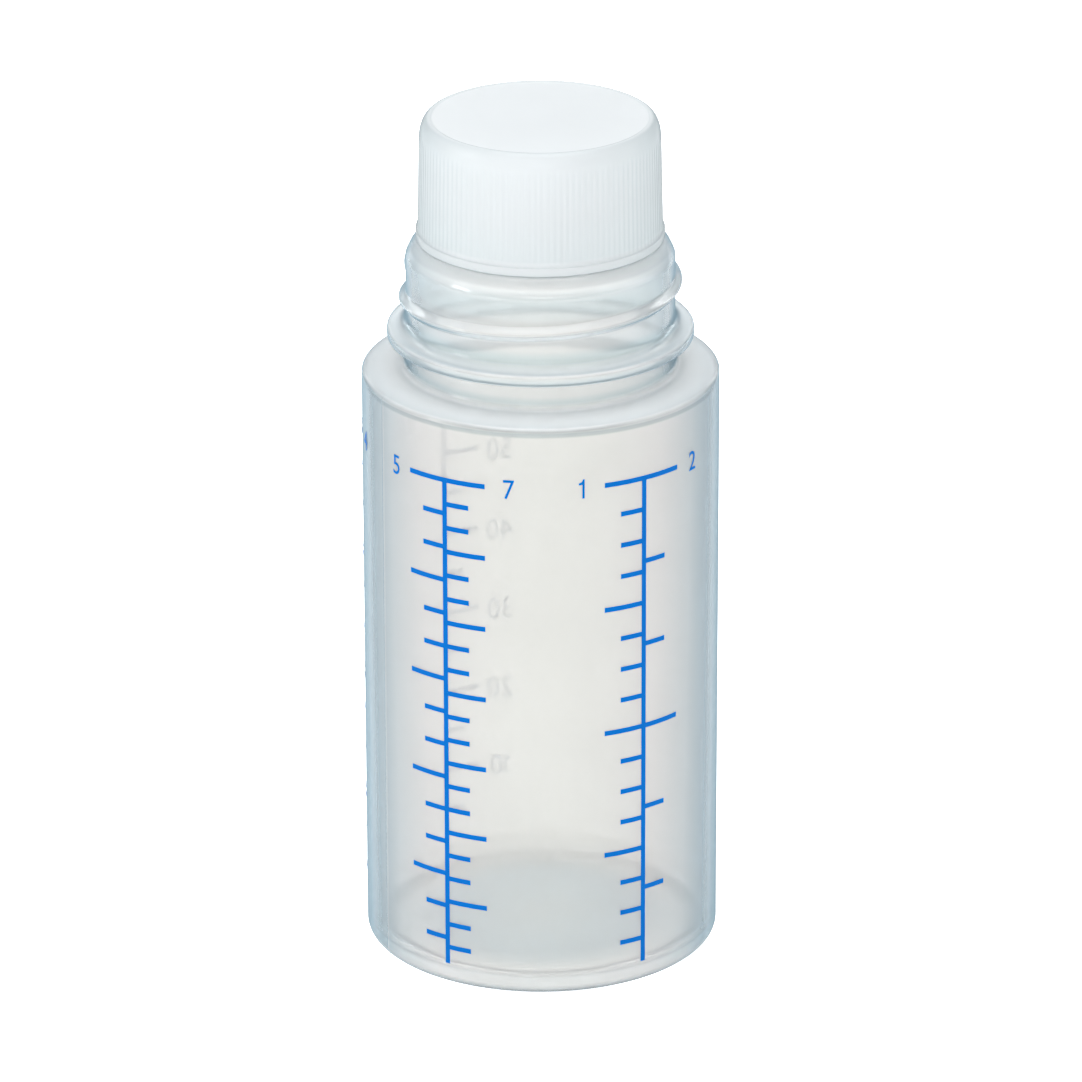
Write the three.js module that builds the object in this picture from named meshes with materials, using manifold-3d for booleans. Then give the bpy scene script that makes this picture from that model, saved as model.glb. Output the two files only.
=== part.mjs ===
// Dosing bottle with a printed dose scale and a screw cap. Millimetres, +Z up.
// The axis of the bottle is the Z axis and it stands on z = 0. Angles are in
// degrees round the axis, 0 at the front (-Y) and growing towards the right (+X).

import * as THREE from "three";
import { mergeVertices } from "three/addons/utils/BufferGeometryUtils.js";
import Module from "manifold-3d";

const wasm = await Module();
wasm.setup();

// Facets round the axis, the coarser step of the hidden threads, and the smallest detail kept.
const FULL_TURN = 360;
const AROUND = 72;
const FINE_STEP = FULL_TURN / AROUND;
const COARSE_STEP = 2 * FINE_STEP;
const SMALLEST = 0.002;

// Body: a plain cylinder with a tight base corner and a nearly flat shoulder.
const BODY_R = 19;
const WALL = 0.615;
const INNER_R = BODY_R - WALL;
const BASE_CORNER = 1.05;
const FOOT_WIDTH = 2.95;
const FOOT_INNER_R = BODY_R - BASE_CORNER - FOOT_WIDTH;
const PUSH_UP = 0.7;
const PUSH_UP_SLOPE = 2;
const SHOULDER_CORNER = 0.52;
const SHOULDER_RISE = 0.3;

// Printed scales. Every scale has the same low and top line, 60 ml of contents apart.
const FULL_ML = 60;
const HEIGHT_PER_ML = 1000 / (Math.PI * INNER_R ** 2);
const SCALE_LOW_Z = 1.75;
const SCALE_TOP_Z = SCALE_LOW_Z + FULL_ML * HEIGHT_PER_ML;
const SHOULDER_ABOVE_SCALE = 6.69;
const SHOULDER_Z = SCALE_TOP_Z + SHOULDER_ABOVE_SCALE;
const INK_GAP = 0.03;
const INK_THICK = 0.06;
const INK_LINE = 0.55;
const UPRIGHT_LOW_Z = SCALE_LOW_Z + 0.75;
const LONG_TICK = 4.65;
const SHORT_TICK = 2.8;
const LEFT_SCALE = { at: -31.9, left: { parts: 15, long: 3 }, right: { parts: 21, long: 3 } };
const RIGHT_SCALE = { at: 34.5, left: { parts: 16, long: 4 }, right: { parts: 6, long: 3 } };
const SIDE_SCALE = { at: -98.3, left: { parts: 9, long: 3 }, right: { parts: 12, long: 3 } };

// Volume scale on the back, a tick every 5 ml up to 50 ml.
const VOLUME_AT = -145.7;
const VOLUME_FULL_TICK = 4.2;
const VOLUME_HALF_TICK = 2.4;
const VOLUME_TICK_ML = 5;
const VOLUME_TICKS = 10;

// Wide lower neck: a flange below, a moulded screw ridge round it, a dome above.
const NECK_R = 14.25;
const NECK_WALL = 0.9;
const NECK_ROOT_Z = SHOULDER_Z + SHOULDER_RISE;
const NECK_ROOT_FILLET = 0.8;
const FLANGE_R = NECK_R + 2.03;
const FLANGE_EDGE = 1.26;
const FLANGE_LOW_Z = NECK_ROOT_Z + 3.23;
const FLANGE_HIGH_Z = FLANGE_LOW_Z + FLANGE_EDGE;
const FLANGE_EDGE_ROUND = 0.4;
const FLANGE_TOP_FILLET = 1.2;
const FLANGE_UNDER_FILLET = 0.35;
const DOME_LOW_Z = FLANGE_HIGH_Z + 7.77;
const DOME_HEIGHT = 1.84;
const DOME_STEP = 1.2;
const DOME_BULGE = 0.12;
const DOME_TOP_Z = DOME_LOW_Z + DOME_HEIGHT;
const DOME_TOP_R = NECK_R - DOME_STEP;

const RIDGE_HEIGHT = 0.75;
const RIDGE_WIDTH = 1.9;
const RIDGE_PITCH = 3.7;
const RIDGE_FRONT_Z = FLANGE_HIGH_Z + 4.07;
const RIDGE_SINK = 0.15;
const RIDGE_FROM = -150;
const RIDGE_TO = 285;
const RIDGE_FADE = { start: 0.08, end: 0.3 };

// Threaded finish under the cap, with the mouth through it.
const MOUTH_R = 9.4;
const FINISH_WALL = 1.3;
const FINISH_R = MOUTH_R + FINISH_WALL;
const FINISH_HEIGHT = 10.86;
const LIP_Z = DOME_TOP_Z + FINISH_HEIGHT;
const LIP_ROUND = 0.4;

// Screw thread of the finish and of the cap, meshing half a pitch apart.
const THREAD_PITCH = 4;
const THREAD_HEIGHT = 0.75;
const THREAD_GAP = 0.35;
const THREAD_ROOT = 1.3;
const THREAD_CREST = 0.7;
const THREAD_SINK = 0.3;
const THREAD_TURNS = 1.25;
const THREAD_FADE = 0.08;
const THREAD_START = 40;
const THREAD_LOW_Z = DOME_TOP_Z + THREAD_PITCH;

// Sealing disc held in the cap, over the mouth.
const REST_GAP = 0.3;
const DISC_THICK = 0.8;
const DISC_SIDE_GAP = 0.4;
const DISC_LOW_Z = LIP_Z + REST_GAP;

// Screw cap: skirt with fine ridges, a plain rim band, a rounded flat top.
const CAP_BORE_R = FINISH_R + THREAD_HEIGHT + THREAD_GAP;
const CAP_WALL = 1.15;
const CAP_TAPER = 0.21;
const CAP_LOW_R = CAP_BORE_R + CAP_WALL;
const CAP_HIGH_R = CAP_LOW_R - CAP_TAPER;
const CAP_RIM_Z = DOME_TOP_Z + REST_GAP;
const CAP_RIM_STEP = 0.21;
const CAP_RIM_R = CAP_LOW_R + CAP_RIM_STEP;
const CAP_RIM_HEIGHT = 0.95;
const CAP_RIM_ROUND = 0.2;
const CAP_CEILING_Z = DISC_LOW_Z + DISC_THICK + REST_GAP;
const CAP_CEILING_ROUND = 0.3;
const CAP_TOP_THICK = 1.14;
const CAP_TOP_Z = CAP_CEILING_Z + CAP_TOP_THICK;
const CAP_TOP_ROUND = { across: 1.06, down: 2.39 };
const GRIP_COUNT = 120;
const GRIP_DEPTH = 0.16;

const rad = THREE.MathUtils.degToRad;

function roundCorner(cr, cz, radiusR, radiusZ, from, to, steps) {
  // Points of an elliptic corner about (cr, cz), angles from +R towards +Z.
  return Array.from({ length: steps + 1 }, (_, i) => {
    const a = rad(from + ((to - from) * i) / steps);
    return [cr + radiusR * Math.cos(a), cz + radiusZ * Math.sin(a)];
  });
}

function toSolid(geometry) {
  // A closed manifold solid from the triangles of a geometry.
  const bare = new THREE.BufferGeometry();
  bare.setAttribute("position", geometry.getAttribute("position"));
  if (geometry.index) bare.setIndex(geometry.index);
  const welded = mergeVertices(bare, 1e-5);
  return new wasm.Manifold(new wasm.Mesh({
    numProp: 3,
    vertProperties: new Float32Array(welded.getAttribute("position").array),
    triVerts: new Uint32Array(welded.index.array),
  }));
}

function toMesh(name, solid, material) {
  const { vertProperties, triVerts, numProp } = solid.getMesh();
  const positions = new Float32Array((vertProperties.length / numProp) * 3);
  for (let i = 0; i < positions.length / 3; i += 1) {
    positions.set(vertProperties.subarray(i * numProp, i * numProp + 3), i * 3);
  }
  const geometry = new THREE.BufferGeometry();
  geometry.setAttribute("position", new THREE.BufferAttribute(positions, 3));
  geometry.setIndex(new THREE.BufferAttribute(new Uint32Array(triVerts), 1));
  geometry.computeVertexNormals();
  const mesh = new THREE.Mesh(geometry, material);
  mesh.name = name;
  return mesh;
}

function revolve(profile) {
  // A solid of revolution; the profile runs up the outside, from axis to axis or closed.
  const points = profile.map(([r, z]) => new THREE.Vector2(r, z));
  const lathe = new THREE.LatheGeometry(points, AROUND);
  lathe.rotateX(Math.PI / 2);
  return toSolid(lathe);
}

function sweepTurns({ section, from, to, zAt, grow, step = FINE_STEP }) {
  // Sweeps a closed (r, z) section round the axis; grow(t) gives the ridge height share.
  const steps = Math.ceil((to - from) / step);
  const vertices = [];
  const faces = [];
  const n = section.length;
  for (let i = 0; i <= steps; i += 1) {
    const angle = from + ((to - from) * i) / steps;
    const share = grow(i / steps);
    for (const { root, height, z } of section) {
      const r = root + height * share;
      vertices.push(r * Math.sin(rad(angle)), -r * Math.cos(rad(angle)), zAt(angle) + z);
    }
  }
  for (let i = 0; i < steps; i += 1) {
    for (let k = 0; k < n; k += 1) {
      const a = i * n + k;
      const b = i * n + ((k + 1) % n);
      faces.push(a, a + n, b, b, a + n, b + n);
    }
  }
  for (let k = 1; k < n - 1; k += 1) {
    faces.push(0, k, k + 1);
    const end = steps * n;
    faces.push(end, end + k + 1, end + k);
  }
  const geometry = new THREE.BufferGeometry();
  geometry.setAttribute("position", new THREE.BufferAttribute(new Float32Array(vertices), 3));
  geometry.setIndex(faces);
  return toSolid(geometry);
}

function fadedEnds(share, fadeIn, fadeOut) {
  // Rises smoothly from 0 at the start and falls back to 0 at the end.
  const ease = (t) => Math.sin((Math.PI / 2) * THREE.MathUtils.clamp(t, 0, 1));
  return Math.min(ease(share / fadeIn), ease((1 - share) / fadeOut));
}

function makeBottle() {
  const pushUpR = FOOT_INNER_R - PUSH_UP_SLOPE;
  const outside = [
    [0, PUSH_UP],
    [pushUpR, PUSH_UP],
    [FOOT_INNER_R, 0],
    ...roundCorner(BODY_R - BASE_CORNER, BASE_CORNER, BASE_CORNER, BASE_CORNER, -90, 0, 3),
    ...roundCorner(BODY_R - SHOULDER_CORNER, SHOULDER_Z - SHOULDER_CORNER,
      SHOULDER_CORNER, SHOULDER_CORNER, 0, 90, 3),
    ...roundCorner(NECK_R + NECK_ROOT_FILLET, NECK_ROOT_Z + NECK_ROOT_FILLET,
      NECK_ROOT_FILLET, NECK_ROOT_FILLET, 270, 180, 2),
    [NECK_R, FLANGE_LOW_Z - FLANGE_UNDER_FILLET],
    [NECK_R + FLANGE_UNDER_FILLET, FLANGE_LOW_Z],
    ...roundCorner(FLANGE_R - FLANGE_EDGE_ROUND, FLANGE_LOW_Z + FLANGE_EDGE_ROUND,
      FLANGE_EDGE_ROUND, FLANGE_EDGE_ROUND, -90, 0, 2),
    ...roundCorner(FLANGE_R - FLANGE_EDGE_ROUND, FLANGE_HIGH_Z - FLANGE_EDGE_ROUND,
      FLANGE_EDGE_ROUND, FLANGE_EDGE_ROUND, 0, 90, 2),
    ...roundCorner(NECK_R + FLANGE_TOP_FILLET, FLANGE_HIGH_Z + FLANGE_TOP_FILLET,
      FLANGE_TOP_FILLET, FLANGE_TOP_FILLET, 270, 180, 3),
    [NECK_R, DOME_LOW_Z],
    [(NECK_R + DOME_TOP_R) / 2 + DOME_BULGE, (DOME_LOW_Z + DOME_TOP_Z) / 2 + DOME_BULGE],
    [DOME_TOP_R, DOME_TOP_Z],
    [FINISH_R, DOME_TOP_Z],
    ...roundCorner(FINISH_R - LIP_ROUND, LIP_Z - LIP_ROUND, LIP_ROUND, LIP_ROUND, 0, 90, 1),
  ];
  const inside = [
    ...roundCorner(MOUTH_R + LIP_ROUND, LIP_Z - LIP_ROUND, LIP_ROUND, LIP_ROUND, 90, 180, 1),
    [MOUTH_R, DOME_TOP_Z - NECK_WALL],
    [DOME_TOP_R - NECK_WALL, DOME_TOP_Z - NECK_WALL],
    [NECK_R - NECK_WALL, DOME_LOW_Z - NECK_WALL / 2],
    [NECK_R - NECK_WALL, NECK_ROOT_Z],
    [NECK_R, NECK_ROOT_Z - NECK_WALL],
    [INNER_R - SHOULDER_CORNER, SHOULDER_Z - WALL],
    [INNER_R, SHOULDER_Z - WALL - SHOULDER_CORNER],
    ...roundCorner(INNER_R - BASE_CORNER, WALL + BASE_CORNER, BASE_CORNER, BASE_CORNER, 0, -90, 2),
    [FOOT_INNER_R, WALL],
    [pushUpR, PUSH_UP + WALL],
    [0, PUSH_UP + WALL],
  ];
  const shell = revolve([...outside, ...inside]);

  const arc = [-0.86, -0.5, 0, 0.5, 0.86].map((s) => ({
    root: NECK_R - RIDGE_SINK,
    height: RIDGE_HEIGHT * Math.cos((Math.PI / 2) * s) + RIDGE_SINK,
    z: (RIDGE_WIDTH / 2) * s,
  }));
  const foot = { root: NECK_R - NECK_WALL / 2, height: 0 };
  const ridge = sweepTurns({
    section: [{ ...foot, z: -RIDGE_WIDTH / 2 }, ...arc, { ...foot, z: RIDGE_WIDTH / 2 }],
    from: RIDGE_FROM,
    to: RIDGE_TO,
    zAt: (angle) => RIDGE_FRONT_Z + (RIDGE_PITCH * angle) / FULL_TURN,
    grow: (t) => fadedEnds(t, RIDGE_FADE.start, RIDGE_FADE.end),
  });
  const thread = makeThread(FINISH_R, 1, THREAD_LOW_Z);
  return shell.add(ridge).add(thread).simplify(SMALLEST);
}

function makeThread(wallR, outward, lowZ) {
  // A trapezoid thread on a wall, standing outward (1) from it or inward (-1).
  const foot = wallR - outward * THREAD_SINK;
  const section = [
    { root: foot, height: 0, z: -THREAD_ROOT / 2 },
    { root: wallR, height: outward * THREAD_HEIGHT, z: -THREAD_CREST / 2 },
    { root: wallR, height: outward * THREAD_HEIGHT, z: THREAD_CREST / 2 },
    { root: foot, height: 0, z: THREAD_ROOT / 2 },
  ];
  return sweepTurns({
    section: outward > 0 ? section : section.reverse(),
    from: THREAD_START,
    to: THREAD_START + FULL_TURN * THREAD_TURNS,
    zAt: (angle) => lowZ + (THREAD_PITCH * (angle - THREAD_START)) / FULL_TURN,
    grow: (t) => fadedEnds(t, THREAD_FADE, THREAD_FADE),
    step: COARSE_STEP,
  });
}

function makeGrip(lowZ, lowR, highZ, highR) {
  // A tapered band with a fine upright ridge at every second point.
  const points = GRIP_COUNT * 2;
  const vertices = [0, 0, lowZ, 0, 0, highZ];
  const faces = [];
  for (let i = 0; i < points; i += 1) {
    const angle = (2 * Math.PI * i) / points;
    const sink = i % 2 ? GRIP_DEPTH : 0;
    for (const [r, z] of [[lowR - sink, lowZ], [highR - sink, highZ]]) {
      vertices.push(r * Math.sin(angle), -r * Math.cos(angle), z);
    }
    const a = 2 + 2 * i;
    const b = 2 + 2 * ((i + 1) % points);
    faces.push(a, b, a + 1, a + 1, b, b + 1, 0, b, a, 1, a + 1, b + 1);
  }
  const geometry = new THREE.BufferGeometry();
  geometry.setAttribute("position", new THREE.BufferAttribute(new Float32Array(vertices), 3));
  geometry.setIndex(faces);
  return toSolid(geometry);
}

function makeCap() {
  const rimTop = CAP_RIM_Z + CAP_RIM_HEIGHT;
  const roundLow = CAP_TOP_Z - CAP_TOP_ROUND.down;
  const rim = revolve([
    [0, CAP_RIM_Z],
    ...roundCorner(CAP_RIM_R - CAP_RIM_ROUND, CAP_RIM_Z + CAP_RIM_ROUND,
      CAP_RIM_ROUND, CAP_RIM_ROUND, -90, 0, 1),
    ...roundCorner(CAP_RIM_R - CAP_RIM_ROUND, rimTop - CAP_RIM_ROUND,
      CAP_RIM_ROUND, CAP_RIM_ROUND, 0, 90, 1),
    [0, rimTop],
  ]);
  const crown = revolve([
    [0, roundLow],
    ...roundCorner(CAP_HIGH_R - CAP_TOP_ROUND.across, roundLow,
      CAP_TOP_ROUND.across, CAP_TOP_ROUND.down, 0, 90, 5),
    [0, CAP_TOP_Z],
  ]);
  const grip = makeGrip(rimTop - 0.1, CAP_LOW_R, roundLow + 0.1, CAP_HIGH_R);
  const hollow = revolve([
    [0, CAP_RIM_Z - 1],
    [CAP_BORE_R, CAP_RIM_Z - 1],
    ...roundCorner(CAP_BORE_R - CAP_CEILING_ROUND, CAP_CEILING_Z - CAP_CEILING_ROUND,
      CAP_CEILING_ROUND, CAP_CEILING_ROUND, 0, 90, 1),
    [0, CAP_CEILING_Z],
  ]);
  const thread = makeThread(CAP_BORE_R, -1, THREAD_LOW_Z - THREAD_PITCH / 2);
  return rim.add(grip).add(crown).subtract(hollow).add(thread).simplify(SMALLEST);
}

function makeDisc() {
  const discR = CAP_BORE_R - DISC_SIDE_GAP;
  return revolve([
    [0, DISC_LOW_Z],
    [discR, DISC_LOW_Z],
    [discR, DISC_LOW_Z + DISC_THICK],
    [0, DISC_LOW_Z + DISC_THICK],
  ]);
}

function inkPatch(from, to, lowZ, highZ) {
  // A thin curved plate of ink just off the body's wall.
  const r = BODY_R + INK_GAP;
  return sweepTurns({
    section: [
      { root: r, height: 0, z: 0 },
      { root: r + INK_THICK, height: 0, z: 0 },
      { root: r + INK_THICK, height: 0, z: highZ - lowZ },
      { root: r, height: 0, z: highZ - lowZ },
    ],
    from,
    to,
    zAt: () => lowZ,
    grow: () => 1,
  });
}

const aroundBody = (length) => THREE.MathUtils.radToDeg(length / BODY_R);

function inkLine(at, reach, z) {
  // A level line from the angle at, reach millimetres long to the right, or left if negative.
  const end = at + aroundBody(reach);
  return inkPatch(Math.min(at, end), Math.max(at, end), z - INK_LINE / 2, z + INK_LINE / 2);
}

function inkUpright(at) {
  const half = INK_LINE / 2;
  return inkPatch(at - aroundBody(half), at + aroundBody(half), UPRIGHT_LOW_Z, SCALE_TOP_Z + half);
}

function makeDoseScale({ at, left, right }) {
  const height = SCALE_TOP_Z - SCALE_LOW_Z;
  const pieces = [inkUpright(at), inkLine(at - aroundBody(LONG_TICK), 2 * LONG_TICK, SCALE_TOP_Z)];
  for (const [side, { parts, long }] of [[-1, left], [1, right]]) {
    for (let i = 1; i < parts; i += 1) {
      const reach = i % long ? SHORT_TICK : LONG_TICK;
      pieces.push(inkLine(at, side * reach, SCALE_TOP_Z - (height * i) / parts));
    }
  }
  return wasm.Manifold.union(pieces);
}

function makeVolumeScale() {
  const pieces = [inkUpright(VOLUME_AT)];
  for (let i = 1; i <= VOLUME_TICKS; i += 1) {
    const reach = i % 2 ? VOLUME_HALF_TICK : VOLUME_FULL_TICK;
    pieces.push(inkLine(VOLUME_AT, -reach, SCALE_LOW_Z + VOLUME_TICK_ML * HEIGHT_PER_ML * i));
  }
  return wasm.Manifold.union(pieces);
}

const bottlePlastic = new THREE.MeshStandardMaterial({
  name: "bottle_plastic", color: 0xe6e8e6, roughness: 0.35,
});
const capPlastic = new THREE.MeshStandardMaterial({
  name: "cap_plastic", color: 0xeef1f3, roughness: 0.4,
});
const blueInk = new THREE.MeshStandardMaterial({
  name: "blue_ink", color: 0x0578d7, roughness: 0.5,
});
const discFoam = new THREE.MeshStandardMaterial({
  name: "disc_foam", color: 0xf6f6f4, roughness: 0.8,
});

const group = new THREE.Group();
group.name = "dosing_bottle";
group.add(
  toMesh("bottle", makeBottle(), bottlePlastic),
  toMesh("cap", makeCap(), capPlastic),
  toMesh("sealing_disc", makeDisc(), discFoam),
  toMesh("dose_scale_left", makeDoseScale(LEFT_SCALE), blueInk),
  toMesh("dose_scale_right", makeDoseScale(RIGHT_SCALE), blueInk),
  toMesh("dose_scale_side", makeDoseScale(SIDE_SCALE), blueInk),
  toMesh("volume_scale", makeVolumeScale(), blueInk),
);

export default group;
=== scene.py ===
import math

import bpy
import numpy as np
from mathutils import Matrix, Vector


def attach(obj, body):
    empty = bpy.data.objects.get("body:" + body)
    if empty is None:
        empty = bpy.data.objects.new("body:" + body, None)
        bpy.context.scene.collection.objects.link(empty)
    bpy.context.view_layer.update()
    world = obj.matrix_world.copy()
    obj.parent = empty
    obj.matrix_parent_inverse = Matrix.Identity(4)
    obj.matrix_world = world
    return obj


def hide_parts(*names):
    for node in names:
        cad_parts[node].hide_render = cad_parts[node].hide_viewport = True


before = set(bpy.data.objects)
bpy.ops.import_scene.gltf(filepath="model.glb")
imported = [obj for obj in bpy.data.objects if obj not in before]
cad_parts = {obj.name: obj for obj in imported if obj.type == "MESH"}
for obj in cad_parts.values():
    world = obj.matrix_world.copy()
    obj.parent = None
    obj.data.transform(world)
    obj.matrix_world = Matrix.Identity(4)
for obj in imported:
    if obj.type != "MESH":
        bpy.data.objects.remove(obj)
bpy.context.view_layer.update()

MM = 0.001
scene = bpy.context.scene

# Sizes in millimetres. They are the CAD model's, apart from the inside corner of the base, the depth
# of the grips, and the top recess, the seam and the dome's bead, which only the look has. Angles are
# in degrees, 0 at the front (-Y) and growing towards +X.
BODY_R = 19.0
WALL = 0.615
BASE_CORNER = 1.05
INNER_CORNER = 3.2
FOOT_INNER_R = 15.0
PUSH_UP_R = 13.0
PUSH_UP = 0.7
SHOULDER_Z = 64.94
SHOULDER_CORNER = 0.52
NECK_ROOT_Z = 65.24
NECK_R = 14.25
NECK_WALL = 0.9
NECK_ROOT_FILLET = 0.8
FLANGE_R = 16.28
FLANGE_LOW = 68.47
FLANGE_HIGH = 69.73
FLANGE_ROUND = 0.4
FLANGE_TOP_FILLET = 1.2
FLANGE_UNDER_FILLET = 0.35
DOME_LOW_Z = 77.5
DOME_TOP_R = 13.05
DOME_TOP_Z = 79.34
RIDGE_HEIGHT = 0.75
RIDGE_WIDTH = 1.9
RIDGE_PITCH = 3.7
RIDGE_FRONT_Z = 73.8
RIDGE_FROM = -150.0
RIDGE_TO = 285.0
FINISH_R = 10.7
MOUTH_R = 9.4
LIP_Z = 90.2
LIP_ROUND = 0.4
THREAD_PITCH = 4.0
THREAD_HEIGHT = 0.75
THREAD_LOW_Z = 83.34
THREAD_START = 40.0
THREAD_TURNS = 1.25
SEAM_AT = -61.0

CAP_RIM_Z = 79.64
CAP_RIM_R = 13.16
CAP_RIM_HEIGHT = 0.95
CAP_LOW_R = 12.95
CAP_HIGH_R = 12.74
CAP_TOP_Z = 92.74
CAP_TOP_R = 11.68
CAP_TOP_ROUND = 2.39
CAP_BORE_R = 11.8
CAP_CEILING_Z = 91.6
GRIP_COUNT = 120
GRIP_STEPS = 6
GRIP_DEPTH = 0.045
TOP_RECESS = 0.06

THREAD_WIDTH = 1.3
THREAD_FADE = 0.08
THREAD_FLAT = 0.4
RIDGE_FADE_IN = 0.08
RIDGE_FADE_OUT = 0.3
SEAM_HEIGHT = 0.025
SEAM_SPREAD = 0.35
SEAM_STEPS = (-1.1, -0.7, -0.45, -0.25, 0, 0.25, 0.45, 0.7, 1.1)

INK_GAP = 0.03
INK_THICK = 0.06
INK_R = BODY_R + INK_GAP


# Shapes

def corner(cr, cz, rr, rz, a0, a1, n):
    """Points of an arc round (cr, cz), rr wide and rz high, from angle a0 to a1 in degrees."""
    t = np.radians(np.linspace(a0, a1, n + 1))
    return [(cr + rr * math.cos(a), cz + rz * math.sin(a)) for a in t]


def arc(cr, cz, rounding, a0, a1, n):
    """Points of a circle's arc round (cr, cz), from angle a0 to a1 in degrees."""
    return corner(cr, cz, rounding, rounding, a0, a1, n)


def dense(points, step):
    """The profile with points added so that no stretch is longer than step."""
    out = [points[0]]
    for (r0, z0), (r1, z1) in zip(points, points[1:]):
        n = max(1, int(math.ceil(math.hypot(r1 - r0, z1 - z0) / step)))
        for i in range(1, n + 1):
            out.append((r0 + (r1 - r0) * i / n, z0 + (z1 - z0) * i / n))
    return out


def ease(t):
    """From 0 to 1, quick at first and then slowing down."""
    return np.sin(np.pi / 2 * np.clip(t, 0, 1))


def helix(theta, z, start, end, z_start, pitch, width, height, fade_in, fade_out, flat=0.0):
    """Height of a rounded helical ridge at (theta, z), all in degrees and millimetres. It fades at
    both ends over a share of its length, and flat is the share of its width that stays level."""
    out = np.zeros(np.broadcast(theta, z).shape)
    for turn in range(-2, 3):
        a = theta + 360.0 * turn
        inside = (a >= start) & (a <= end)
        share = (a - start) / (end - start)
        fade = np.minimum(ease(share / fade_in), ease((1 - share) / fade_out))
        u = np.abs(z - (z_start + pitch * (a - start) / 360.0)) / (width / 2)
        u = np.clip((u - flat) / (1 - flat), 0, 1)
        bump = 0.5 + 0.5 * np.cos(np.pi * u)
        out = np.maximum(out, np.where(inside, height * fade * bump, 0))
    return out


def grid_mesh(name, profile, thetas, shape):
    """A surface of revolution through the profile, its radius changed by shape(theta, r, z). A
    profile point on the axis becomes one vertex."""
    r = np.array([p[0] for p in profile])[:, None]
    z = np.array([p[1] for p in profile])[:, None]
    th = np.asarray(thetas)[None, :]
    rr = shape(th, r, z)
    a = np.radians(th)
    co = np.stack([rr * np.sin(a), -rr * np.cos(a), z + 0 * a], axis=-1)
    rows, cols = rr.shape
    verts = []
    ring = []
    for i in range(rows):
        if profile[i][0] < 1e-6:
            ring.append([len(verts)] * cols)
            verts.append((0, 0, profile[i][1] * MM))
        else:
            ring.append(list(range(len(verts), len(verts) + cols)))
            verts.extend((co[i] * MM).tolist())
    faces = []
    for i in range(rows - 1):
        lo, hi = ring[i], ring[i + 1]
        for j in range(cols):
            k = (j + 1) % cols
            quad = [lo[j], lo[k], hi[k], hi[j]]
            face = [v for n, v in enumerate(quad) if v not in quad[:n]]
            if len(face) > 2:
                faces.append(face)
    me = bpy.data.meshes.new(name)
    me.from_pydata(verts, [], faces)
    me.validate()
    me.polygons.foreach_set("use_smooth", [True] * len(me.polygons))
    ob = bpy.data.objects.new(name, me)
    scene.collection.objects.link(ob)
    return ob


# Materials

def new_material(name):
    m = bpy.data.materials.new(name)
    m.use_nodes = True
    nt = m.node_tree
    nt.nodes.clear()
    return m, nt, nt.nodes.new("ShaderNodeOutputMaterial")


def noise(nt, scale, detail, rough):
    co = nt.nodes.new("ShaderNodeTexCoord")
    nz = nt.nodes.new("ShaderNodeTexNoise")
    nz.inputs["Scale"].default_value = scale
    nz.inputs["Detail"].default_value = detail
    nz.inputs["Roughness"].default_value = rough
    nt.links.new(co.outputs["Object"], nz.inputs["Vector"])
    return nz.outputs["Fac"]


def ramp(nt, src, stops):
    r = nt.nodes.new("ShaderNodeValToRGB")
    while len(r.color_ramp.elements) < len(stops):
        r.color_ramp.elements.new(0.5)
    for e, (pos, colour) in zip(r.color_ramp.elements, stops):
        e.position = pos
        e.color = (*colour, 1)
    nt.links.new(src, r.inputs["Fac"])
    return r.outputs["Color"]


def mapped(nt, src, low, high, to_low=0.0, to_high=1.0):
    mr = nt.nodes.new("ShaderNodeMapRange")
    mr.inputs["From Min"].default_value = low
    mr.inputs["From Max"].default_value = high
    mr.inputs["To Min"].default_value = to_low
    mr.inputs["To Max"].default_value = to_high
    nt.links.new(src, mr.inputs["Value"])
    return mr.outputs["Result"]


def spread(stops, low, high):
    """The stops as shares of the way from low to high, with single numbers as greys."""
    return [((at - low) / (high - low), v if isinstance(v, tuple) else (v, v, v)) for at, v in stops]


def upright(nt, kind):
    """The height of the place on the part (Object) or the upward share of the surface (Normal)."""
    co = nt.nodes.new("ShaderNodeTexCoord")
    sep = nt.nodes.new("ShaderNodeSeparateXYZ")
    nt.links.new(co.outputs[kind], sep.inputs["Vector"])
    return sep.outputs["Z"]


def by_height(nt, stops):
    """A colour or a value by the height on the part, stops as (millimetres, value)."""
    low, top = stops[0][0], stops[-1][0]
    return ramp(nt, mapped(nt, upright(nt, "Object"), low * MM, top * MM), spread(stops, low, top))


def upward(nt, stops):
    """A value by how far the surface faces up, from -1 (down) to 1 (up)."""
    return ramp(nt, mapped(nt, upright(nt, "Normal"), -1.0, 1.0), spread(stops, -1, 1))


def facing(nt, stops):
    """A colour or a value by how far the wall turns away from the eye. Tints darken there partly as a
    thin milky wall is looked through lengthways, and partly as painted shade along the outline."""
    lw = nt.nodes.new("ShaderNodeLayerWeight")
    lw.inputs["Blend"].default_value = 0.5
    return ramp(nt, lw.outputs["Facing"], spread(stops, 0, 1))


def radius(nt):
    """The distance from the part's axis."""
    co = nt.nodes.new("ShaderNodeTexCoord")
    flat = nt.nodes.new("ShaderNodeVectorMath")
    flat.operation = "MULTIPLY"
    flat.inputs[1].default_value = (1, 1, 0)
    length = nt.nodes.new("ShaderNodeVectorMath")
    length.operation = "LENGTH"
    nt.links.new(co.outputs["Object"], flat.inputs[0])
    nt.links.new(flat.outputs["Vector"], length.inputs[0])
    return length.outputs["Value"]


def by_radius(nt, stops):
    """A colour or a value by the distance from the part's axis, stops as (millimetres, value)."""
    far = stops[-1][0]
    return ramp(nt, mapped(nt, radius(nt), 0.0, far * MM), spread(stops, 0, far))


def constant(nt, value):
    """A fixed colour or grey as a socket."""
    rgb = nt.nodes.new("ShaderNodeRGB")
    rgb.outputs[0].default_value = (*value, 1) if isinstance(value, tuple) else (value, value, value, 1)
    return rgb.outputs[0]


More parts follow.
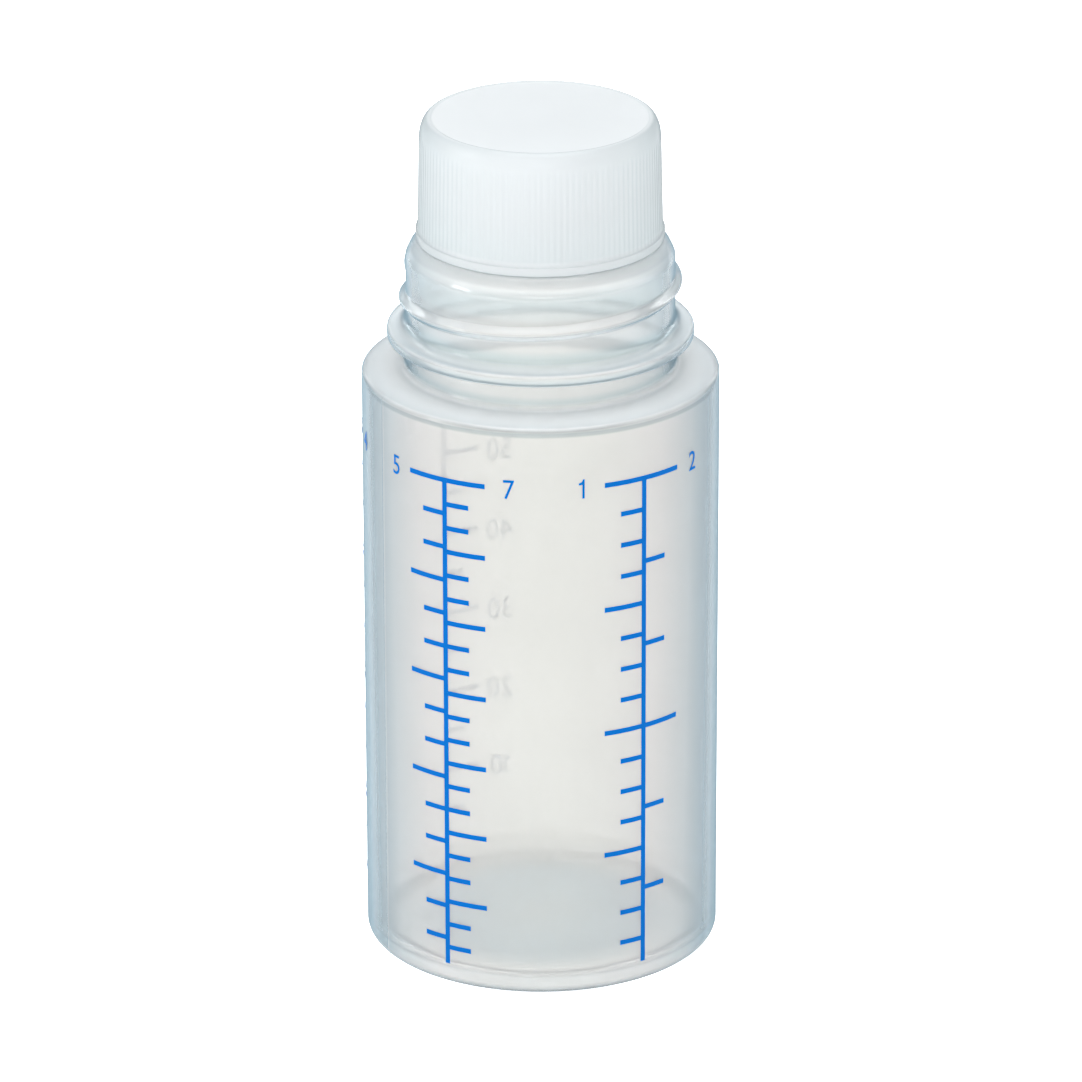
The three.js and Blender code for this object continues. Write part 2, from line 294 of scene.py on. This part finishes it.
def blend(nt, kind, factor, a, b):
    """Two colours blended, with the factor a number or a socket."""
    mix = nt.nodes.new("ShaderNodeMix")
    mix.data_type = "RGBA"
    mix.blend_type = kind
    if isinstance(factor, float):
        mix.inputs["Factor"].default_value = factor
    else:
        nt.links.new(factor, mix.inputs["Factor"])
    nt.links.new(a, mix.inputs["A"])
    nt.links.new(b, mix.inputs["B"])
    return mix.outputs["Result"]


def times(nt, a, b):
    return blend(nt, "MULTIPLY", 1.0, a, b)


def mix_shaders(nt, share, a, b):
    """Shader a with a share of shader b, the share a number or a socket."""
    mix = nt.nodes.new("ShaderNodeMixShader")
    if isinstance(share, float):
        mix.inputs["Fac"].default_value = share
    else:
        nt.links.new(share, mix.inputs["Fac"])
    nt.links.new(a, mix.inputs[1])
    nt.links.new(b, mix.inputs[2])
    return mix.outputs["Shader"]


def bump(nt, height, strength, distance):
    bp = nt.nodes.new("ShaderNodeBump")
    bp.inputs["Strength"].default_value = strength
    bp.inputs["Distance"].default_value = distance * MM
    nt.links.new(height, bp.inputs["Height"])
    return bp.outputs["Normal"]


def principled(nt, colour, normal, **values):
    """A Principled shader. Each further value is a number for the socket of that name."""
    p = nt.nodes.new("ShaderNodeBsdfPrincipled")
    nt.links.new(colour, p.inputs["Base Color"])
    nt.links.new(normal, p.inputs["Normal"])
    for socket, value in values.items():
        p.inputs[socket.replace("_", " ")].default_value = value
    return p


def plastic(name, tint, milk, rough, gloss, passing, edge, outline_shade_tint, clear, ior, spots):
    """Translucent moulded plastic, a clear shader mixed with a milky one that scatters light. tint,
    milk (the milky share) and rough are functions that add their nodes and return a socket. gloss is
    the milky shader's roughness and passing the share of its light that goes through. At the
    outline a dull outline_shade_tint takes over by the stops in edge. spots sets how fine the clouding is."""
    m, nt, out = new_material(name)
    cloud = ramp(nt, noise(nt, spots, 4.0, 0.55), [(0.3, (1 - CLOUDING,) * 3), (0.7, (1, 1, 1))])
    normal = bump(nt, noise(nt, spots * 9, 3.0, 0.6), 0.15, 0.01)
    colour = times(nt, tint(nt), cloud)
    see_through = principled(nt, colour, normal, IOR=ior, Transmission_Weight=clear)
    nt.links.new(rough(nt), see_through.inputs["Roughness"])
    surface = principled(nt, colour, normal, IOR=ior, Roughness=gloss)
    shining = nt.nodes.new("ShaderNodeBsdfTranslucent")
    nt.links.new(colour, shining.inputs["Color"])
    milky = mix_shaders(nt, passing, surface.outputs["BSDF"], shining.outputs["BSDF"])
    body = mix_shaders(nt, milk(nt), see_through.outputs["BSDF"], milky)
    # Painted shade: along the outline a dark dull shader takes over, in place of the light that the wall
    # would reflect there.
    dull = nt.nodes.new("ShaderNodeBsdfDiffuse")
    dull.inputs["Color"].default_value = (*outline_shade_tint, 1)
    whole = mix_shaders(nt, facing(nt, edge), body, dull.outputs["BSDF"])
    nt.links.new(whole, out.inputs["Surface"])
    return m


def two_tones(nt, tint, dark, rough, spots, depth, specular):
    """A dull shader in two close tones, with a fine grain depth millimetres deep."""
    grain = noise(nt, spots, 4.0, 0.6)
    return principled(nt, ramp(nt, grain, [(0.3, dark), (0.7, tint)]), bump(nt, grain, 0.2, depth),
                      Roughness=rough, Specular_IOR_Level=specular).outputs["BSDF"]


def foam(name):
    m, nt, out = new_material(name)
    surface = two_tones(nt, (0.86, 0.87, 0.86), (0.78, 0.80, 0.80), 0.8, 1500, 0.05, 0.3)
    nt.links.new(surface, out.inputs["Surface"])
    return m


def ink(name):
    """A thin printed layer that light shines through in a paler blue. Its outside counts: seen from
    inside it is faint, and its inner side is clear."""
    m, nt, out = new_material(name)
    print_side = two_tones(nt, (0.0, 0.112, 0.435), (0.0, 0.106, 0.415), 0.6, 900, 0.01, 0.05)
    shining = nt.nodes.new("ShaderNodeBsdfTranslucent")
    shining.inputs["Color"].default_value = (0.0, 0.22, 0.55, 1)
    layer = mix_shaders(nt, 0.3, print_side, shining.outputs["BSDF"])
    co = nt.nodes.new("ShaderNodeTexCoord")
    outward = nt.nodes.new("ShaderNodeVectorMath")
    outward.operation = "DOT_PRODUCT"
    nt.links.new(co.outputs["Object"], outward.inputs[0])
    nt.links.new(co.outputs["Normal"], outward.inputs[1])
    from_inside = mapped(nt, outward.outputs["Value"], -0.001 * MM, 0.001 * MM, INK_FAINT, 0.0)
    halfway = INK_R + INK_THICK / 2
    under = mapped(nt, radius(nt), (halfway - 0.005) * MM, (halfway + 0.005) * MM, 1.0, 0.0)
    share = nt.nodes.new("ShaderNodeMath")
    share.operation = "MAXIMUM"
    nt.links.new(from_inside, share.inputs[0])
    nt.links.new(under, share.inputs[1])
    clear = nt.nodes.new("ShaderNodeBsdfTransparent")
    whole = mix_shaders(nt, share.outputs["Value"], layer, clear.outputs["BSDF"])
    nt.links.new(whole, out.inputs["Surface"])
    return m


# Looks, as stops. Tints and milky shares go by how far the surface turns from the eye, the plate's
# by the radius. Gains and names in _Z go by the height and names in _R by the radius, in millimetres.
# The gains and the plate's tints are painted shade and painted highlights, and the other tints'
# darkening towards the outline is partly painted shade.
CLOUDING = 0.03
INK_FAINT = 0.5
WALL_LOW, WALL_HIGH = 1.0, SHOULDER_Z - 0.3
PLATE_MASK_R = [(0, 1.0), (15.0, 1.0), (16.5, 0.0), (BODY_R, 0.0)]
PLATE_MASK_Z = [(0, 1.0), (2.5, 1.0), (3.5, 0.0), (LIP_Z, 0.0)]
LEVEL_MASK_Z = [(0, 1.0), (65.2, 1.0), (65.8, 0.5), (LIP_Z, 0.5)]
CEILING_MASK_Z = [(0, 0.0), (60.0, 0.0), (62.0, 1.0), (LIP_Z, 1.0)]
# The tints darken and turn bluer where the wall turns from the eye, partly from the longer path through the
# milky wall and partly as painted shade along the outline.
WALL_TINTS = [(0.07, (0.785, 0.780, 0.752)), (0.30, (0.712, 0.70, 0.694)), (0.476, (0.534, 0.579, 0.597)),
              (0.677, (0.165, 0.280, 0.345)), (0.855, (0.25, 0.36, 0.43)), (1.0, (0.27, 0.38, 0.45))]
# Painted highlight and shade: a bright band low on the base's corner, a darker band above it and a thin
# bright line above that.
FOOT_HIGHLIGHT_AND_SHADE_GAIN = [(0, 1.0), (0.85, 1.0), (1.1, 1.05), (1.95, 1.15), (2.15, 0.95), (2.75, 0.93),
             (2.9, 1.08), (3.05, 1.08), (3.2, 1.0)]
# Painted shade: the wall a little darker towards the shoulder.
WALL_SHADE_GAIN = [(3.2, 0.99), (8, 0.99), (16, 0.99), (28, 0.97), (63.5, 0.965)]
# Painted shade and highlight: a dark line just under the shoulder's corner and a bright band on the corner.
SHOULDER_SHADE_AND_HIGHLIGHT_GAIN = [(63.9, 1.0), (64.1, (0.66, 0.73, 0.76)), (64.4, (0.66, 0.73, 0.76)), (64.55, 1.12), (65.0, 1.12)]
# Painted light and shade: the shoulder's corner lighter, and darker bands at the neck's root, on the ring's
# rim and in the hollow above the ring.
FLANGE_LIGHT_AND_SHADE_GAIN = [(64.5, 1.1), (64.8, 1.1), (65.3, 0.98), (66.0, (0.82, 0.90, 0.93)), (66.7, 1.0), (68.4, 1.0),
               (68.6, (0.74, 0.83, 0.87)), (69.1, (0.76, 0.85, 0.89)), (69.6, 0.9),
               (70.3, (0.78, 0.87, 0.89)), (70.9, (0.82, 0.90, 0.92)), (71.8, 1.0)]
# Painted shade and highlight: the neck darker above its ridge, and a bright band low on the dome.
NECK_SHADE_AND_HIGHLIGHT_GAIN = [(71.8, 1.0), (73.2, 1.03), (74.0, 0.90), (74.8, 0.86), (75.3, (0.90, 0.93, 0.93)),
             (77.4, (0.94, 0.98, 0.99)), (77.85, 1.14), (78.3, 1.14), (78.6, 0.96), (79.3, 0.95)]
# As on the wall, the neck's tints darken towards the outline partly from the longer path and partly as
# painted shade.
NECK_TINTS = [(0.0, (0.842, 0.837, 0.819)), (0.3, (0.76, 0.78, 0.785)), (0.5, (0.67, 0.72, 0.74)),
              (0.7, (0.42, 0.52, 0.58)), (0.87, (0.26, 0.37, 0.44)), (1.0, (0.26, 0.37, 0.44))]
# Painted shade: the plate darker and bluer towards the middle.
PLATE_SHADE_TINTS = [(0, (0.80, 0.86, 0.88)), (6, (0.76, 0.85, 0.89)), (11, (0.74, 0.84, 0.89)),
               (14.5, (0.96, 0.97, 0.96)), (BODY_R, (0.97, 0.97, 0.95))]
CORNER_TINT = (0.92, 0.92, 0.90)
# Painted shade: what faces down at the base's corner is dark, as shade where the bottle meets the floor.
UNDER_SHADE_TINT = (0.35, 0.38, 0.39)
LEVEL_TINT = (0.98, 0.99, 0.99)
PLATE_MILK = [(0, 0.7), (11.0, 0.7), (14.5, 0.3), (BODY_R, 0.3)]
WALL_MILK = [(0.0, 0.28), (0.3, 0.32), (0.7, 0.45), (1.0, 0.5)]
FOOT_MILK = 0.55
FOOT_MILK_Z = [(0, 0.0), (0.8, 0.0), (1.0, 1.0), (1.9, 1.0), (2.3, 0.0), (LIP_Z, 0.0)]
# The cap's tints darken towards the outline partly from the longer path through its wall and partly as
# painted shade.
CAP_TINTS = [(0.0, (0.665, 0.69, 0.70)), (0.3, (0.615, 0.65, 0.66)), (0.5, (0.54, 0.585, 0.60)),
             (0.76, (0.43, 0.48, 0.495)), (0.88, (0.294, 0.346, 0.363)), (1.0, (0.242, 0.285, 0.303))]
# Painted shade and highlight: the rim band and the lower grips a little darker, with a light line at the top
# of the rim band.
CAP_SHADE_AND_HIGHLIGHT_GAIN = [(79.0, 0.94), (80.5, 0.94), (80.65, 1.08), (80.9, 1.0), (81.2, (0.92, 0.94, 0.94)),
            (86.0, 0.97), (91.0, 1.0), (92.8, 1.0)]
CAP_TOP_MASK_R = [(0, 1.0), (11.3, 1.0), (11.42, 0.75), (11.8, 0.6), (12.2, 0.0), (BODY_R, 0.0)]
CAP_TOP_TINT = (0.73, 0.755, 0.765)


def zones(nt, plate, foot_corner, under, wall, neck, level):
    """One socket out of six: the bottom plate, the corner round it, what faces down there, the
    body's wall, the neck, and what lies level above the wall, inside and out. The neck's own level
    places, such as the ring's top, are half of each."""
    foot = blend(nt, "MIX", upward(nt, [(-0.7, 1.0), (-0.1, 0.0)]), foot_corner, under)
    above_foot = by_height(nt, [(0, 0.0), (WALL_LOW - 0.6, 0.0), (WALL_LOW, 1.0), (LIP_Z, 1.0)])
    on_plate = times(nt, by_radius(nt, PLATE_MASK_R), by_height(nt, PLATE_MASK_Z))
    body = blend(nt, "MIX", on_plate, blend(nt, "MIX", above_foot, foot, wall), plate)
    up_or_down = upward(nt, [(-0.9, 1.0), (-0.4, 0.0), (0.4, 0.0), (0.9, 1.0)])
    flat = times(nt, up_or_down, by_height(nt, LEVEL_MASK_Z))
    top = blend(nt, "MIX", flat, neck, level)
    above_wall = by_height(nt, [(0, 0.0), (WALL_HIGH, 0.0), (SHOULDER_Z, 1.0), (LIP_Z, 1.0)])
    ceiling = times(nt, upward(nt, [(-0.9, 1.0), (-0.5, 0.0)]), by_height(nt, CEILING_MASK_Z))
    return blend(nt, "MIX", ceiling, blend(nt, "MIX", above_wall, body, top), level)


def by_heights(nt, colour, *gains):
    """The colour times each gain. Past its own heights a gain keeps its end value."""
    for stops in gains:
        colour = times(nt, colour, by_height(nt, stops))
    return colour


def bottle_tint(nt):
    wall = by_heights(nt, facing(nt, WALL_TINTS), FOOT_HIGHLIGHT_AND_SHADE_GAIN, WALL_SHADE_GAIN, SHOULDER_SHADE_AND_HIGHLIGHT_GAIN)
    neck = by_heights(nt, facing(nt, NECK_TINTS), FLANGE_LIGHT_AND_SHADE_GAIN, NECK_SHADE_AND_HIGHLIGHT_GAIN)
    return zones(nt, by_radius(nt, PLATE_SHADE_TINTS), constant(nt, CORNER_TINT), constant(nt, UNDER_SHADE_TINT),
                 wall, neck, constant(nt, LEVEL_TINT))


def bottle_milk(nt):
    wall = blend(nt, "MIX", by_height(nt, FOOT_MILK_Z), facing(nt, WALL_MILK), constant(nt, FOOT_MILK))
    return zones(nt, by_radius(nt, PLATE_MILK), constant(nt, 0.4), constant(nt, 0.3), wall,
                 constant(nt, 0.3), constant(nt, 0.8))


def bottle_rough(nt):
    return zones(nt, plate=constant(nt, 0.25), foot_corner=constant(nt, 0.15), under=constant(nt, 0.15),
                 wall=constant(nt, 0.06), neck=constant(nt, 0.12), level=constant(nt, 0.2))


def cap_tint(nt):
    side = by_heights(nt, facing(nt, CAP_TINTS), CAP_SHADE_AND_HIGHLIGHT_GAIN)
    flat_top = times(nt, upward(nt, [(0.8, 0.0), (0.99, 1.0)]), by_radius(nt, CAP_TOP_MASK_R))
    return blend(nt, "MIX", flat_top, side, constant(nt, CAP_TOP_TINT))


bottle_mat = plastic(
    "bottle_plastic_look", tint=bottle_tint, milk=bottle_milk, rough=bottle_rough, gloss=0.12, passing=0.5,
    edge=[(0.70, 0.0), (0.80, 0.7), (0.88, 0.95), (1.0, 0.95)], outline_shade_tint=(0.175, 0.245, 0.285),
    clear=0.95, ior=1.35, spots=60)
cap_mat = plastic(
    "cap_plastic_look", tint=cap_tint, milk=lambda nt: constant(nt, 0.8), rough=lambda nt: constant(nt, 0.4),
    gloss=0.4, passing=0.35,
    edge=[(0.74, 0.0), (0.86, 0.4), (0.95, 0.85), (1.0, 0.85)], outline_shade_tint=(0.18, 0.22, 0.24),
    clear=0.6, ior=1.45, spots=70)
ink_mat = ink("blue_ink_look")
disc_mat = foam("disc_foam_look")


def dress(ob, mat):
    ob.data.materials.clear()
    ob.data.materials.append(mat)


# Bottle

neck_start = FLANGE_HIGH + FLANGE_TOP_FILLET
ring_edge_r = FLANGE_R - FLANGE_ROUND
outside = [(0, PUSH_UP), (PUSH_UP_R, PUSH_UP), (FOOT_INNER_R, 0)]
outside += arc(BODY_R - BASE_CORNER, BASE_CORNER, BASE_CORNER, -90, 0, 8)
outside += arc(BODY_R - SHOULDER_CORNER, SHOULDER_Z - SHOULDER_CORNER, SHOULDER_CORNER, 0, 90, 6)
outside += arc(NECK_R + NECK_ROOT_FILLET, NECK_ROOT_Z + NECK_ROOT_FILLET, NECK_ROOT_FILLET, 270, 180, 6)
outside += arc(NECK_R + FLANGE_UNDER_FILLET, FLANGE_LOW - FLANGE_UNDER_FILLET, FLANGE_UNDER_FILLET,
               180, 90, 4)
outside += arc(ring_edge_r, FLANGE_LOW + FLANGE_ROUND, FLANGE_ROUND, -90, 0, 5)
outside += arc(ring_edge_r, FLANGE_HIGH - FLANGE_ROUND, FLANGE_ROUND, 0, 90, 5)
outside += arc(NECK_R + FLANGE_TOP_FILLET, neck_start, FLANGE_TOP_FILLET, 270, 180, 8)
outside += dense([(NECK_R, neck_start), (NECK_R, DOME_LOW_Z)], 0.12)[1:]

# The dome, and the bead that it ends in under the cap's rim
outside += [(NECK_R - 0.1, DOME_LOW_Z + 0.25)]
outside += [((NECK_R + DOME_TOP_R) / 2 + 0.12, (DOME_LOW_Z + DOME_TOP_Z) / 2 + 0.12)]
outside += [(DOME_TOP_R + 0.2, DOME_TOP_Z - 0.1), (DOME_TOP_R, DOME_TOP_Z + 0.06)]
outside += [(DOME_TOP_R - 0.2, DOME_TOP_Z + 0.2), (DOME_TOP_R - 0.9, DOME_TOP_Z + 0.22)]
outside += [(DOME_TOP_R - 1.1, DOME_TOP_Z)]

# The threaded mouth, its lip, and then the inside from the lip down to the middle of the base
outside += [(FINISH_R + 0.3, DOME_TOP_Z), (FINISH_R, DOME_TOP_Z + 0.3)]
outside += dense([(FINISH_R, DOME_TOP_Z + 0.3), (FINISH_R, LIP_Z - LIP_ROUND)], 0.2)[1:]
outside += arc(FINISH_R - LIP_ROUND, LIP_Z - LIP_ROUND, LIP_ROUND, 0, 90, 4)[1:]
inner_r = BODY_R - WALL
neck_inner_r = NECK_R - NECK_WALL
dome_inner_z = DOME_TOP_Z - NECK_WALL
dome_inner_low_z = DOME_LOW_Z - NECK_WALL / 2
inside = arc(MOUTH_R + LIP_ROUND, LIP_Z - LIP_ROUND, LIP_ROUND, 90, 180, 4)
inside += [(MOUTH_R, dome_inner_z + 0.3), (MOUTH_R + 0.3, dome_inner_z)]
inside += [(DOME_TOP_R - NECK_WALL, dome_inner_z)]
inside += [(neck_inner_r - 0.25, dome_inner_low_z + 0.2), (neck_inner_r, dome_inner_low_z - 0.3)]
inside += [(neck_inner_r, NECK_ROOT_Z + 0.2), (neck_inner_r + 0.3, NECK_ROOT_Z - 0.4)]
inside += [(NECK_R, NECK_ROOT_Z - NECK_WALL)]
inside += arc(inner_r - SHOULDER_CORNER, SHOULDER_Z - WALL - SHOULDER_CORNER, SHOULDER_CORNER, 90, 0, 5)
inside += arc(inner_r - INNER_CORNER, WALL + INNER_CORNER, INNER_CORNER, 0, -90, 12)
inside += [(FOOT_INNER_R, WALL), (PUSH_UP_R, PUSH_UP + WALL), (0, PUSH_UP + WALL)]
n_outside = len(outside)


def thread(th, z, low_z):
    """Height of the screw thread that starts at low_z, the same on the mouth and in the cap."""
    return helix(th, z, THREAD_START, THREAD_START + 360 * THREAD_TURNS, low_z, THREAD_PITCH, THREAD_WIDTH,
                 THREAD_HEIGHT, THREAD_FADE, THREAD_FADE, THREAD_FLAT)


def bottle_radius(th, r, z):
    """The radius of the bottle's shell: the profile with its ridge, thread and mould seam."""
    outer = np.arange(len(r))[:, None] < n_outside
    ridge = helix(th, z, RIDGE_FROM, RIDGE_TO, RIDGE_FRONT_Z + RIDGE_PITCH * RIDGE_FROM / 360, RIDGE_PITCH,
                  RIDGE_WIDTH, RIDGE_HEIGHT, RIDGE_FADE_IN, RIDGE_FADE_OUT)
    rr = r + np.where(outer & (z > neck_start - 0.01) & (z < DOME_LOW_Z + 0.3), ridge, 0)
    finish = outer & (z > DOME_TOP_Z + 0.5) & (z < LIP_Z - LIP_ROUND)
    rr = rr + np.where(finish, thread(th, z, THREAD_LOW_Z), 0)
    from_seam = np.abs((th - SEAM_AT + 90) % 180 - 90)
    seam = SEAM_HEIGHT * np.exp(-(from_seam / SEAM_SPREAD) ** 2)
    return rr + np.where(outer & (r > NECK_R + 1) & (z > 0.2) & (z < FLANGE_LOW), seam, 0)


# Even steps round the bottle, and finer ones across the two mould seams
thetas = list(np.arange(0, 360, 1.25))
for centre in (SEAM_AT % 360, (SEAM_AT + 180) % 360):
    thetas = [t for t in thetas if abs(t - centre) > 1.3] + [centre + step for step in SEAM_STEPS]
thetas = np.array(sorted(thetas))

bottle = grid_mesh("bottle_shell", outside + inside, thetas, bottle_radius)
dress(bottle, bottle_mat)
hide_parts("bottle")
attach(bottle, "bottle_body")

# Cap

rim_top = CAP_RIM_Z + CAP_RIM_HEIGHT
round_low = CAP_TOP_Z - CAP_TOP_ROUND
recess_z = CAP_TOP_Z - TOP_RECESS
cap_out = arc(CAP_RIM_R - 0.1, CAP_RIM_Z + 0.1, 0.1, -90, 0, 3)
cap_out += arc(CAP_RIM_R - 0.12, rim_top - 0.12, 0.12, 0, 70, 2)
cap_out += dense([(CAP_LOW_R, rim_top + 0.05), (CAP_HIGH_R, round_low)], 0.6)
cap_out += corner(CAP_TOP_R, round_low, CAP_HIGH_R - CAP_TOP_R, CAP_TOP_ROUND, 0, 90, 12)[1:]
cap_out += [(CAP_TOP_R - 0.12, CAP_TOP_Z), (CAP_TOP_R - 0.22, CAP_TOP_Z - TOP_RECESS / 2)]
cap_out += [(CAP_TOP_R - 0.32, recess_z), (CAP_TOP_R - 0.45, recess_z)]
cap_out += [(CAP_TOP_R * 0.5, recess_z), (0, recess_z)]
cap_in = [(0, CAP_CEILING_Z), (CAP_BORE_R - 0.3, CAP_CEILING_Z), (CAP_BORE_R, CAP_CEILING_Z - 0.3)]
cap_in += dense([(CAP_BORE_R, CAP_CEILING_Z - 0.3), (CAP_BORE_R, CAP_RIM_Z)], 0.25)[1:]
cap_profile = cap_out + cap_in


def cap_radius(th, r, z):
    """The radius of the cap's shell: the profile with its grips outside and its thread inside."""
    outer = np.arange(len(r))[:, None] < len(cap_out)
    wave = (th * GRIP_COUNT / 360.0) % 1.0
    sink = GRIP_DEPTH * (0.5 - 0.5 * np.cos(2 * np.pi * wave)) ** 0.8
    level = np.clip((z - rim_top) / 0.25, 0, 1) * np.clip((round_low + 0.9 - z) / 0.9, 0, 1)
    rr = r - np.where(outer, sink * level, 0)
    inner_thread = thread(th, z, THREAD_LOW_Z - THREAD_PITCH / 2)
    return rr - np.where(~outer & (r > CAP_BORE_R - 0.01), inner_thread, 0)


cap_thetas = np.arange(GRIP_COUNT * GRIP_STEPS) * (360.0 / (GRIP_COUNT * GRIP_STEPS))


def cap_mesh():
    """The cap's closed shell: up the outside, over the top, down the bore, and shut at the rim."""
    ob = grid_mesh("cap_shell", cap_profile, cap_thetas, cap_radius)
    me = ob.data
    cols = len(cap_thetas)
    last = len(me.vertices) - cols
    faces = [list(p.vertices) for p in me.polygons]
    faces += [[last + j, last + (j + 1) % cols, (j + 1) % cols, j] for j in range(cols)]
    verts = [v.co[:] for v in me.vertices]
    me.clear_geometry()
    me.from_pydata(verts, [], faces)
    me.polygons.foreach_set("use_smooth", [True] * len(me.polygons))
    return ob


cap = cap_mesh()
dress(cap, cap_mat)
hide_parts("cap")
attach(cap, "cap_body")

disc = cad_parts["sealing_disc"]
dress(disc, disc_mat)

# Print

for n in ("dose_scale_left", "dose_scale_right", "dose_scale_side", "volume_scale"):
    dress(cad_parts[n], ink_mat)

# Outline of the figure 1, one unit high, and the gap between two figures
FIGURE_GAP = 0.14
ONE = [(0.33, 0.0), (0.33, 1.0), (0.24, 1.0), (0.17, 0.86), (0.0, 0.8), (0.0, 0.7), (0.2, 0.72), (0.2, 0.0)]


def glyph(char):
    """Points and faces of one figure, one unit high, its left edge and foot at zero."""
    if char == "1":
        return np.array(ONE), [list(range(len(ONE)))[::-1]]
    cu = bpy.data.curves.new("figure", "FONT")
    cu.body = char
    cu.resolution_u = 6
    tmp = bpy.data.objects.new("figure", cu)
    scene.collection.objects.link(tmp)
    me = bpy.data.meshes.new_from_object(tmp.evaluated_get(bpy.context.evaluated_depsgraph_get()))
    bpy.data.objects.remove(tmp)
    co = np.array([v.co[:2] for v in me.vertices])
    faces = [list(p.vertices) for p in me.polygons]
    bpy.data.meshes.remove(me)
    co -= co.min(0)
    return co / co[:, 1].max(), faces


def figure(name, digits, theta, z, height, squeeze):
    """A printed number wrapped round the body, its middle at theta and z, height in millimetres and
    squeeze its width as a share of the font's."""
    parts, faces, left = [], [], 0.0
    for char in digits:
        co, fs = glyph(char)
        faces += [[v + sum(map(len, parts)) for v in f] for f in fs]
        parts.append(co + (left, 0))
        left += co[:, 0].max() + FIGURE_GAP
    co = (np.concatenate(parts) - ((left - FIGURE_GAP) / 2, 0.5)) * height
    a = np.radians(theta) + co[:, 0] * squeeze / BODY_R
    n = len(co)
    verts = []
    for r in (INK_R, INK_R + INK_THICK):
        verts += [(r * math.sin(t) * MM, -r * math.cos(t) * MM, (z + h) * MM) for t, h in zip(a, co[:, 1])]
    edges = {(f[i], f[(i + 1) % len(f)]) for f in faces for i in range(len(f))}
    rim = [e for e in edges if (e[1], e[0]) not in edges]
    solid = [f[::-1] for f in faces] + [[v + n for v in f] for f in faces]
    solid += [[i, j, j + n, i + n] for i, j in rim]
    new = bpy.data.meshes.new(name)
    new.from_pydata(verts, [], solid)
    ob = bpy.data.objects.new(name, new)
    scene.collection.objects.link(ob)
    dress(ob, ink_mat)
    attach(ob, "bottle_body")


# The figures at the scales' heads, each with its angle round the body
HEAD_FIGURES = (("figure_left_a", "5", -52.7), ("figure_left_b", "7", -10.1),
                ("figure_right_a", "1", 12.9), ("figure_right_b", "2", 56.6),
                ("figure_side_a", "3", -119.3), ("figure_side_b", "4", -76.6))
HEAD_FIGURE_Z, HEAD_FIGURE_HEIGHT, HEAD_FIGURE_SQUEEZE = 58.15, 2.14, 0.88
for name, digits, theta in HEAD_FIGURES:
    figure(name, digits, theta, HEAD_FIGURE_Z, HEAD_FIGURE_HEIGHT, HEAD_FIGURE_SQUEEZE)

# The millilitre figures, by the heights that those volumes reach inside
ML_ZERO_Z, ML_THETA, ML_HEIGHT, ML_SQUEEZE, ML_DROP = 1.75, -166.0, 2.5, 0.85, 0.4
for ml in (10, 20, 30, 40, 50):
    mark_z = ML_ZERO_Z + ml * 1000 / (math.pi * inner_r ** 2)
    figure("figure_ml_%d" % ml, str(ml), ML_THETA, mark_z - ML_DROP, ML_HEIGHT, ML_SQUEEZE)

# Floor, light and camera

bpy.ops.mesh.primitive_plane_add(size=6.0, location=(0, 0, -0.0002))
floor = bpy.context.object
floor.name = "floor"
floor_mat, nt, floor_out = new_material("floor_look")
floor_shader = nt.nodes.new("ShaderNodeBsdfPrincipled")
floor_shader.inputs["Roughness"].default_value = 0.6
floor_shader.inputs["Emission Strength"].default_value = 0.9
floor_colour = ramp(nt, noise(nt, 4.0, 2.0, 0.5), [(0.3, (0.93, 0.93, 0.93)), (0.7, (0.96, 0.96, 0.96))])
nt.links.new(floor_colour, floor_shader.inputs["Base Color"])
nt.links.new(floor_colour, floor_shader.inputs["Emission Color"])
nt.links.new(floor_shader.outputs["BSDF"], floor_out.inputs["Surface"])
dress(floor, floor_mat)

world = bpy.data.worlds.new("studio")
scene.world = world
world.use_nodes = True
world.node_tree.nodes["Background"].inputs["Color"].default_value = (0.97, 0.985, 1.0, 1)
world.node_tree.nodes["Background"].inputs["Strength"].default_value = 1.0


def area(name, place, target, size, power):
    """A white rectangular light at place that shines on target, in metres and watts."""
    light = bpy.data.lights.new(name, "AREA")
    light.shape = "RECTANGLE"
    light.size, light.size_y = size
    light.energy = power
    ob = bpy.data.objects.new(name, light)
    scene.collection.objects.link(ob)
    ob.location = place
    ob.rotation_euler = (Vector(target) - Vector(place)).to_track_quat("-Z", "Y").to_euler()


MIDDLE = (0, 0, 0.07)
area("top", (0, 0, 0.8), (0, 0, 0), (0.6, 0.6), 4.3)
area("key_left", (-0.547, -0.19, 0.25), MIDDLE, (0.17, 0.1), 1.05)
area("key_front", (-0.02, -0.98, 0.47), MIDDLE, (0.4, 0.12), 1.9)
area("fill_right", (0.5, -0.25, 0.5), MIDDLE, (0.5, 0.5), 0.35)

# Camera, from a fit to the bottle's outline in the photograph, in its own pixels
ELEVATION = math.radians(22.225)
DISTANCE = 818.87 * MM
FOCAL_PX = 7648.6
IMAGE_PX = 1082
CENTRE_Y_PX = 538.58
ROLL = math.radians(-0.132)
AIM = Vector((0, 0, 0.045))
towards_eye = Vector((0, -math.cos(ELEVATION), math.sin(ELEVATION)))
cam_data = bpy.data.cameras.new("camera")
cam_data.lens = cam_data.sensor_width * FOCAL_PX / IMAGE_PX
cam_data.clip_end = 20
camera = bpy.data.objects.new("camera", cam_data)
scene.collection.objects.link(camera)
scene.camera = camera
place = Matrix.Translation(AIM + towards_eye * DISTANCE)
look = (-towards_eye).to_track_quat("-Z", "Y").to_matrix().to_4x4()
tilt = Matrix.Rotation(-math.atan((IMAGE_PX / 2 - CENTRE_Y_PX) / FOCAL_PX), 4, "X")
camera.matrix_world = place @ look @ Matrix.Rotation(ROLL, 4, "Z") @ tilt

scene.view_settings.view_transform = "Standard"
scene.view_settings.look = "None"
